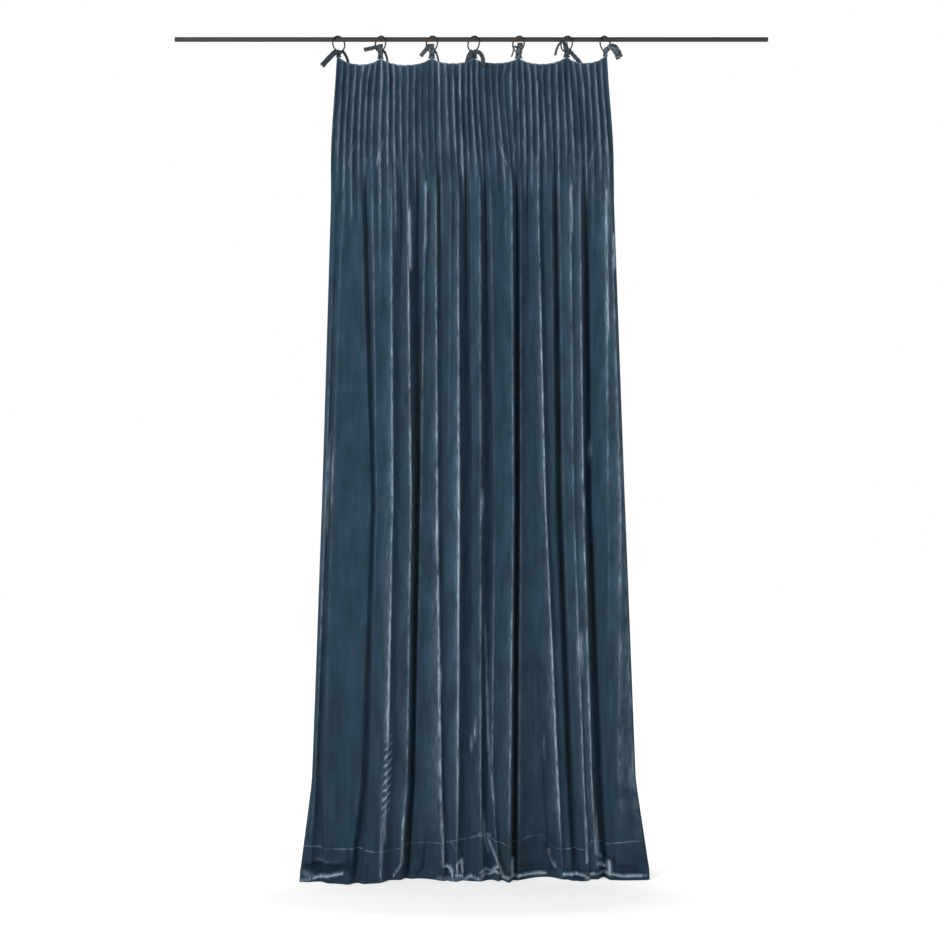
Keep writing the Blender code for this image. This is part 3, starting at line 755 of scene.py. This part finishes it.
# The colour of the pile, from its patches and its combing
nap_patches = add_node(tree, "MapRange", {
    "Value": uneven["patches"], "From Min": 0.3, "From Max": 0.7, "To Max": 0.62}).outputs["Result"]
nap_combing = add_node(tree, "MapRange", {
    "Value": uneven["combing"], "From Min": 0.3, "From Max": 0.7, "To Max": 0.38}).outputs["Result"]
nap = add_node(tree, "Math", {0: nap_patches, 1: nap_combing}, operation="ADD").outputs["Value"]
cloth_tone = add_node(tree, "ValToRGB", {"Fac": nap})
cloth_tone.color_ramp.elements[0].position = 0.15
cloth_tone.color_ramp.elements[0].color = hex_colour("#1C2E3B")
cloth_tone.color_ramp.elements[1].position = 0.85
cloth_tone.color_ramp.elements[1].color = hex_colour("#293F4E")

# The painted highlights on crushed pile are broken into specks, but stay whole where they are brightest
shine = add_node(tree, "Attribute", attribute_name="shine").outputs["Fac"]
speckled = add_node(tree, "MapRange", {
    "Value": uneven["specks"], "From Min": 0.36, "From Max": 0.62, "To Min": 0.12, "To Max": 1.35})
patchy = add_node(tree, "MapRange", {
    "Value": uneven["patches"], "From Min": 0.35, "From Max": 0.65, "To Min": 0.45, "To Max": 1.35})
broken = add_node(tree, "Math", {
    0: speckled.outputs["Result"], 1: patchy.outputs["Result"]}, operation="MULTIPLY").outputs["Value"]
whole = add_node(tree, "MapRange", {
    "Value": shine, "From Min": 0.75, "From Max": 1.05}).outputs["Result"]
left_over = add_node(tree, "Math", {0: broken, 1: whole}, operation="MAXIMUM").outputs["Value"]
crushed_pile_highlight = add_node(tree, "Math", {0: shine, 1: left_over}, operation="MULTIPLY").outputs["Value"]

# The hem's stitching: a painted highlight up to 5 mm wide along it, which fades out where the pile hides it
above_stitch = add_node(tree, "Attribute", attribute_name="above_stitch").outputs["Fac"]
off_stitch = add_node(tree, "Math", {0: above_stitch}, operation="ABSOLUTE").outputs["Value"]
stitch_highlight_line = add_node(tree, "MapRange", {
    "Value": off_stitch, "From Min": 0.0008, "From Max": 0.0026, "To Min": 0.40, "To Max": 0.0})
hidden = add_node(tree, "MapRange", {
    "Value": uneven["patches"], "From Min": 0.42, "From Max": 0.60, "To Min": 0.15, "To Max": 1.1})
stitch_highlight = add_node(tree, "Math", {
    0: stitch_highlight_line.outputs["Result"], 1: hidden.outputs["Result"]}, operation="MULTIPLY").outputs["Value"]

# The painted highlight's ticks slant up to the right. A wave's period is 0.314 divided by its scale
slanted = add_node(tree, "Mapping", {
    "Vector": in_metres, "Rotation": (0.0, 0.0, TICK_SLANT)}).outputs["Vector"]
strokes = add_node(tree, "TexWave", {
    "Vector": slanted, "Scale": 0.314 / TICK_SPACING, "Distortion": 2.2, "Detail": 2.0,
    "Detail Scale": 4.0}, wave_type="BANDS", bands_direction="Y").outputs["Fac"]
struck = add_node(tree, "MapRange", {
    "Value": strokes, "From Min": 0.62, "From Max": 0.95, "To Min": 0.04, "To Max": 0.62}).outputs["Result"]
ticked = add_node(tree, "Attribute", attribute_name="ticks").outputs["Fac"]
ticks = add_node(tree, "Math", {0: ticked, 1: struck}, operation="MULTIPLY").outputs["Value"]

crushed_pile_and_stitch_highlight = add_node(tree, "Math", {0: crushed_pile_highlight, 1: stitch_highlight}, operation="MAXIMUM").outputs["Value"]
pale_highlight_share = add_node(tree, "Math", {
    0: crushed_pile_and_stitch_highlight, 1: ticks}, operation="MAXIMUM", use_clamp=True).outputs["Value"]
# Painted highlights on the crushed pile, the stitching and the ticks lighten the colour to a pale grey blue
coloured = add_node(tree, "Mix", {
    "Factor": pale_highlight_share, "A": cloth_tone.outputs["Color"], "B": hex_colour("#93A8B8")}, data_type="RGBA")

# Painted shade: darker in the hollows, and darker low down towards the floor
shade = add_node(tree, "Attribute", attribute_name="shade").outputs["Fac"]
painted_hollow_shade = add_node(tree, "MapRange", {"Value": shade, "To Max": 0.9}).outputs["Result"]
flat_height = add_node(tree, "SeparateXYZ", {0: in_metres}).outputs["Y"]
painted_shade_low_down = add_node(tree, "MapRange", {
    "Value": flat_height, "From Min": 0.15, "From Max": 1.15, "To Min": 0.16, "To Max": 0.04})
painted_shade = add_node(tree, "Math", {
    0: painted_hollow_shade, 1: painted_shade_low_down.outputs["Result"]}, operation="MAXIMUM").outputs["Value"]
shaded = add_node(tree, "Mix", {
    "Factor": painted_shade, "A": coloured.outputs["Result"], "B": hex_colour("#0F1D27")}, data_type="RGBA")

# The back has no pile: it shows the plain cotton ground, whose weave is drawn 3 mm coarse to show
weave = add_node(tree, "TexNoise", {
    "Vector": in_metres, "Scale": GROUND_PER_METRE, "Detail": 1.0}).outputs["Fac"]
ground = add_node(tree, "ValToRGB", {"Fac": weave})
ground.color_ramp.elements[0].color = hex_colour("#2A3640")
ground.color_ramp.elements[1].color = hex_colour("#43505B")
back = add_node(tree, "Attribute", attribute_name="back").outputs["Fac"]
two_faced = add_node(tree, "Mix", {
    "Factor": back, "A": shaded.outputs["Result"], "B": ground.outputs["Color"]}, data_type="RGBA")

# The ends of the pile, drawn 1.4 mm coarse to show
pile = add_node(tree, "TexNoise", {
    "Vector": in_metres, "Scale": PILE_PER_METRE, "Detail": 2.0}).outputs["Fac"]
rough = add_node(tree, "Bump", {
    "Height": pile, "Strength": 0.25, "Distance": PILE_HEIGHT}).outputs["Normal"]
feed(shader, {"Base Color": two_faced.outputs["Result"], "Normal": rough})

fit_out(curtain, velvet, "velvet", "curtain")

# Ties
# Seven strips of the same velvet, folded and pressed flat. Each is sewn to the top edge, taken up
# round its ring's wire and knotted in front, and its free ends hang as they fell.
STRIP_THICKNESS = 0.0016
STRIP_CURL = 0.0009
STRIP_CELLS = 6
WELD_GRAIN = 0.0006
SLEEVE_RADIUS = 0.0048
SLEEVE_LENGTH = 0.015
WIRE_CLEARANCE = 0.0004

# Which way the face of a strip looks: to the front, or turned half away to the side
FACING = {"front": Vector((0, -1, 0)), "side": Vector((0.8, -0.6, 0))}

# The strips' width and the points that each runs through, in millimetres from the lowest point of
# its ring's wire: to the right, out to the front, and up
Strip = namedtuple("Strip", "tie part width facing points")
STRIPS = (
    Strip("1", "left_end", 19, "front", ((-4, 5, 1), (-14, 10, -8), (-34, 13, -29), (-56, 10, -52))),
    Strip("1", "right_strap", 13, "side", ((10, -2, 5), (19, -8, -6), (28, -12, -24), (34, -12, -50))),
    Strip("2", "standing_loop", 17, "front", ((0, 9, -9), (0, 11, 4), (1, 8, 17), (0, 1, 23), (0, -2, 3))),
    Strip("2", "left_end", 15, "front", ((-1, -3, 9), (-14, -7, 16), (-33, -4, 11), (-56, 0, 5))),
    Strip("2", "right_strap", 12, "side", ((7, 7, 1), (15, 2, -5), (21, -11, -22), (23, -12, -44))),
    Strip("3", "standing_loop", 18, "front", ((0, 9, -9), (0, 12, 4), (0, 9, 17), (0, 1, 24), (0, -2, 3))),
    Strip("3", "left_end", 15, "front",
          ((0, -4, 14), (-11, -6, 20), (-18, -4, 9), (-27, -1, -3), (-38, 1, -17))),
    Strip("3", "right_strap", 11, "side", ((7, 7, 1), (14, 2, -5), (20, -11, -22), (23, -12, -44))),
    Strip("4", "left_lobe", 20, "front",
          ((-1, 5, -3), (-9, 7, -9), (-16, -3, -20), (-20, -12, -34), (-21, -12, -46))),
    Strip("4", "right_lobe", 15, "front",
          ((2, 6, -2), (17, 12, -6), (28, 13, -18), (32, 12, -35), (29, 12, -55))),
    Strip("5", "standing_loop", 18, "front", ((3, 9, -9), (5, 12, 5), (6, 10, 19), (5, 2, 27), (0, -2, 3))),
    Strip("5", "left_end", 12, "side", ((-1, -3, 9), (-14, -6, 18), (-16, -4, 4), (-23, -2, -18))),
    Strip("6", "standing_loop", 16, "front",
          ((0, 9, -9), (-1, 11, 5), (-4, 9, 20), (-6, 3, 27), (-1, -2, 3))),
    Strip("6", "left_end", 11, "side",
          ((-4, 8, 18), (-12, 11, 28), (-25, 10, 22), (-34, 8, 4), (-39, 7, -16))),
    Strip("6", "right_strap", 15, "front",
          ((4, 7, 4), (16, 2, -6), (29, -9, -17), (41, -13, -29), (48, -13, -40))),
    Strip("7", "near_end", 16, "front", ((16, 7, 14), (27, 10, 4), (36, 10, -10), (44, 9, -29))),
    Strip("7", "far_end", 15, "front", ((20, 1, 20), (34, -3, 17), (46, -5, 2), (54, -6, -18))),
)

# The knots, in millimetres from the same point: centre and half sizes
Knot = namedtuple("Knot", "tie centre half_size")
KNOTS = (
    Knot("1", (2, 1, -3), (14, 7, 6)),
    Knot("2", (1, 2, -6), (9, 8, 6)),
    Knot("3", (1, 2, -6), (10, 8, 6)),
    Knot("4", (1, 3, -4), (10, 8, 7)),
    Knot("5", (0, 2, -6), (11, 8, 6)),
    Knot("6", (2, 2, -5), (10, 8, 6)),
    Knot("7", (3, 1, 4), (9, 8, 11)),
    Knot("7", (19, 4, 16), (13, 7, 9)),
)

# Each tie's stem goes from its knot down to the top edge: its width in millimetres, how much wider
# it gets, and how far it is sewn over the edge
STEM_WIDTH = {"1": 14, "2": 17, "3": 19, "4": 21, "5": 20, "6": 18, "7": 14}
STEM_FLARE = 0.45
STEM_OVERLAP = 0.003

# A knot's core and its two turns, as shares of its half size: the core's depth and height, how far
# each turn lies from the middle, with its lean, and the turns' thickness and reach
CORE_DEPTH = 0.86
CORE_HEIGHT = 0.82
KNOT_TURNS = ((-0.30, math.radians(14)), (0.32, math.radians(-10)))
TURN_THICKNESS = 0.32
TURN_REACH = 0.76

# How much of each tie's pile is pale, from rubbed pile and painted highlights
PALE_WEAR_AND_HIGHLIGHT = {"1": 0.12, "2": 0.35, "3": 0.45, "4": 0.25, "5": 0.45, "6": 0.25, "7": 0.65}
STRIP_GRAIN_PER_METRE = 260.0
STRIP_WEAR_AND_HIGHLIGHT_PER_METRE = 190.0
STRIP_PILE_PER_METRE = 1500.0
ON_ITS_SIDE = Matrix.Rotation(math.radians(90), 4, "Y")


def smooth_path(points, steps=8):
    """Points along a smooth curve through the given ones."""
    ends = [points[0] * 2 - points[1], *points, points[-1] * 2 - points[-2]]
    path = []
    for before, start, stop, after in zip(ends, ends[1:], ends[2:], ends[3:]):
        for step in range(steps):
            share = step / steps
            linear = (stop - before) * share
            square = (before * 2 - start * 5 + stop * 4 - after) * share ** 2
            cube = (start * 3 - before - stop * 3 + after) * share ** 3
            path.append(start + (linear + square + cube) / 2)
    path.append(points[-1])
    return path


def strip_piece(path, width, facing, flare=0.0):
    """A pressed strip along a path, its long edges curling back a little."""
    select_nothing()
    last = len(path) - 1
    bpy.ops.mesh.primitive_grid_add(x_subdivisions=last, y_subdivisions=STRIP_CELLS, size=2.0)
    strip = active_piece("strip")
    across = FACING[facing].cross(path[1] - path[0])
    for index, point in enumerate(path):
        along = (path[min(index + 1, last)] - path[max(index - 1, 0)]).normalized()
        across = (across - along * across.dot(along)).normalized()
        outward = across.cross(along)
        breadth = width * (0.96 + 0.04 * math.sin(0.9 * index) + flare * (index / last) ** 2)
        for row in range(STRIP_CELLS + 1):
            place = row / STRIP_CELLS - 0.5
            curl = outward * STRIP_CURL * (2 * place) ** 2
            strip.data.vertices[row * len(path) + index].co = point + across * breadth * place - curl
    thicken = strip.modifiers.new("strip thickness", "SOLIDIFY")
    thicken.thickness = STRIP_THICKNESS
    thicken.offset = 0.0
    bpy.ops.object.modifier_apply(modifier=thicken.name)
    return strip


def knot_pieces(centre, half_size):
    """A knot: a rounded core, and two turns of the strip drawn over it side by side."""
    half = Vector(half_size) * MM
    select_nothing()
    bpy.ops.mesh.primitive_uv_sphere_add(segments=32, ring_count=20, radius=1.0)
    core = active_piece("core")
    core_shape = Matrix.Diagonal((half.x, half.y * CORE_DEPTH, half.z * CORE_HEIGHT, 1.0))
    core.matrix_world = Matrix.Translation(centre) @ core_shape
    apply_place(core)
    pieces = [core]
    drawn_tight = Matrix.Diagonal((half.x, half.y * TURN_REACH, half.z * TURN_REACH, 1.0))
    for shift, lean in KNOT_TURNS:
        select_nothing()
        bpy.ops.mesh.primitive_torus_add(
            major_radius=1.0, minor_radius=TURN_THICKNESS, major_segments=40, minor_segments=16)
        turn = active_piece("turn")
        place = Matrix.Translation(centre + Vector((half.x * shift, 0.0, 0.0)))
        turn.matrix_world = place @ Matrix.Rotation(lean, 4, "Y") @ drawn_tight @ ON_ITS_SIDE
        apply_place(turn)
        pieces.append(turn)
    return pieces


def sleeve_piece(number):
    """The short sleeve that the strip makes where it goes round the ring's wire."""
    select_nothing()
    bpy.ops.mesh.primitive_cylinder_add(vertices=24, radius=SLEEVE_RADIUS, depth=SLEEVE_LENGTH)
    sleeve = active_piece("sleeve")
    sleeve.matrix_world = Matrix.Translation(ring_bottom[number]) @ ring_direction(number) @ ON_ITS_SIDE
    apply_place(sleeve)
    return sleeve


def from_ring(number, offset):
    """A point given in millimetres from the lowest point of a ring's wire: right, out, up."""
    right, out, up = offset
    return ring_bottom[number] + Vector((right, -out, up)) * MM


# The strips' velvet: the same cloth, handled more, so it is greyer, with pale places that are rubbed
# pile and painted highlights. The ends of its pile are drawn 0.7 mm coarse to show
strip_velvet, tree, shader = new_material("pressed_velvet_strip", {
    "Roughness": 0.9, "Specular IOR Level": 0.12, "Sheen Weight": 0.15, "Sheen Roughness": 0.35,
    "Sheen Tint": hex_colour("#A7B4BE")})
place = add_node(tree, "TexCoord").outputs["Object"]
grain = add_node(tree, "TexNoise", {
    "Vector": place, "Scale": STRIP_GRAIN_PER_METRE, "Detail": 3.0}).outputs["Fac"]
strip_tone = add_node(tree, "ValToRGB", {"Fac": grain})
strip_tone.color_ramp.elements[0].position = 0.35
strip_tone.color_ramp.elements[0].color = hex_colour("#181E22")
strip_tone.color_ramp.elements[1].position = 0.75
strip_tone.color_ramp.elements[1].color = hex_colour("#2B343A")
wear_and_highlight_noise = add_node(tree, "TexNoise", {
    "Vector": place, "Scale": STRIP_WEAR_AND_HIGHLIGHT_PER_METRE, "Detail": 3.0, "Distortion": 0.8}).outputs["Fac"]
wear_and_highlight_places = add_node(tree, "MapRange", {
    "Value": wear_and_highlight_noise, "From Min": 0.42, "From Max": 0.60}).outputs["Result"]
wear_and_highlight = add_node(tree, "Attribute", attribute_name="shine").outputs["Fac"]
pale_wear_and_highlight = add_node(tree, "Math", {0: wear_and_highlight, 1: wear_and_highlight_places}, operation="MULTIPLY").outputs["Value"]
strip_colour = add_node(tree, "Mix", {
    "Factor": pale_wear_and_highlight, "A": strip_tone.outputs["Color"], "B": hex_colour("#7D858C")}, data_type="RGBA")
strip_pile = add_node(tree, "TexNoise", {
    "Vector": place, "Scale": STRIP_PILE_PER_METRE, "Detail": 2.0}).outputs["Fac"]
strip_rough = add_node(tree, "Bump", {
    "Height": strip_pile, "Strength": 0.3, "Distance": 0.0004}).outputs["Normal"]
feed(shader, {"Base Color": strip_colour.outputs["Result"], "Normal": strip_rough})

for seat in TIE_SEATS:
    number = seat.name
    foot = Vector([float(np.interp(seat.pleat, pleat, points[0, :, axis])) for axis in range(3)])
    pieces = [sleeve_piece(number)]
    knots = [knot for knot in KNOTS if knot.tie == number]
    for knot in knots:
        pieces += knot_pieces(from_ring(number, knot.centre), knot.half_size)
    overlap = Vector((0, 0, STEM_OVERLAP))
    stem = smooth_path([from_ring(number, knots[0].centre), foot + 2 * overlap, foot - overlap], 4)
    pieces.append(strip_piece(stem, STEM_WIDTH[number] * MM, "front", STEM_FLARE))
    for strip in STRIPS:
        if strip.tie == number:
            path = smooth_path([from_ring(number, point) for point in strip.points])
            pieces.append(strip_piece(path, strip.width * MM, strip.facing))
    select_nothing()
    for piece in pieces:
        piece.select_set(True)
    bpy.context.view_layer.objects.active = pieces[0]
    bpy.ops.object.join()
    tie = active_piece("velvet_tie_" + number)
    weld = tie.modifiers.new("one cloth", "REMESH")
    weld.mode = "VOXEL"
    weld.voxel_size = WELD_GRAIN
    soften = tie.modifiers.new("soft edges", "SMOOTH")
    soften.iterations = 3
    soften.factor = 0.5
    ring_centre = ring_bottom[number] + Vector((0, 0, RING_RADIUS))
    clearance = ring_of_wire("clearance", number, ring_centre, WIRE_RADIUS + WIRE_CLEARANCE)
    bore = tie.modifiers.new("room for the wire", "BOOLEAN")
    bore.operation = "DIFFERENCE"
    bore.object = clearance
    bore.solver = "MANIFOLD"
    bpy.context.view_layer.objects.active = tie
    for modifier in list(tie.modifiers):
        bpy.ops.object.modifier_apply(modifier=modifier.name)
    bpy.data.objects.remove(clearance, do_unlink=True)
    apply_place(tie)
    tie.data.shade_smooth()
    layer = tie.data.attributes.new("shine", "FLOAT", "POINT")
    layer.data.foreach_set("value", np.full(len(tie.data.vertices), PALE_WEAR_AND_HIGHLIGHT[number], np.float32))
    fit_out(tie, strip_velvet, "tie_velvet", "tie_" + number)

# Floor, light and camera
# A plain white floor, even soft studio light from all round with two large panels in front, and a
# camera level with the middle of the curtain.
FLOOR_SIZE = 24.0
CAMERA_DISTANCE = 5.5
CAMERA_SIDE = 0.002
CAMERA_HEIGHT = 1.384
VIEW_WIDTH = 3.20
SENSOR = 36.0
ROOM_LIGHT = 0.40

# White floor: matt, with a painted glow that keeps it white, lower in an oval round the hem, so that a
# soft shadow shows there alone, part cast and part painted by the lower glow
select_nothing()
bpy.ops.mesh.primitive_plane_add(size=FLOOR_SIZE, location=(0.0, 0.0, -FLOOR_DROP))
floor = active_piece("floor")
floor_white, tree, shader = new_material("white_floor", {
    "Base Color": hex_colour("#F2F2F2"), "Roughness": 0.9, "Emission Color": hex_colour("#FFFFFF")})
place = add_node(tree, "TexCoord").outputs["Object"]
near_hem = add_node(tree, "Mapping", {
    "Vector": place, "Location": (-0.05, -0.22, 0.0), "Scale": (1.15, 0.38, 1.0)},
    vector_type="TEXTURE").outputs["Vector"]
away = add_node(tree, "VectorMath", {0: near_hem}, operation="LENGTH").outputs["Value"]
# The glow's dip round the hem is painted shadow
glow = add_node(tree, "MapRange", {
    "Value": away, "From Min": 0.5, "From Max": 1.4, "To Min": 0.34, "To Max": 0.74}).outputs["Result"]
feed(shader, {"Emission Strength": glow})
floor.data.materials.append(floor_white)

# The room is white to look at, and lends the cloth two fifths of that as even light
world = bpy.data.worlds.new("studio")
world.use_nodes = True
sky = world.node_tree.nodes["Background"]
seen = add_node(world.node_tree, "LightPath").outputs["Is Camera Ray"]
strength = add_node(world.node_tree, "MapRange", {"Value": seen, "To Min": ROOM_LIGHT}).outputs["Result"]
feed(sky, {"Color": (1.0, 1.0, 1.0, 1.0), "Strength": strength})
bpy.context.scene.world = world


def light_panel(name, place, target, size, power):
    """A large square panel of soft white light, aimed at a point."""
    data = bpy.data.lights.new(name, "AREA")
    data.shape = "SQUARE"
    data.size = size
    data.energy = power
    panel = bpy.data.objects.new(name, data)
    bpy.context.scene.collection.objects.link(panel)
    panel.location = place
    panel.rotation_euler = (Vector(target) - Vector(place)).to_track_quat("-Z", "Y").to_euler()


light_panel("right_panel", place=(3.2, -4.6, 0.4), target=(0.0, 0.0, -1.4), size=2.4, power=40.0)
light_panel("left_panel", place=(-3.4, -4.4, 1.0), target=(0.0, 0.0, -1.2), size=2.0, power=228.0)

camera_data = bpy.data.cameras.new("camera")
camera_data.sensor_width = SENSOR
camera_data.lens = SENSOR * CAMERA_DISTANCE / VIEW_WIDTH
camera = bpy.data.objects.new("camera", camera_data)
bpy.context.scene.collection.objects.link(camera)
camera.location = (CAMERA_SIDE, -CAMERA_DISTANCE, CAMERA_HEIGHT - FLOOR_DROP)
camera.rotation_euler = (math.radians(90), 0.0, 0.0)
bpy.context.scene.camera = camera
bpy.context.scene.view_settings.view_transform = "Standard"
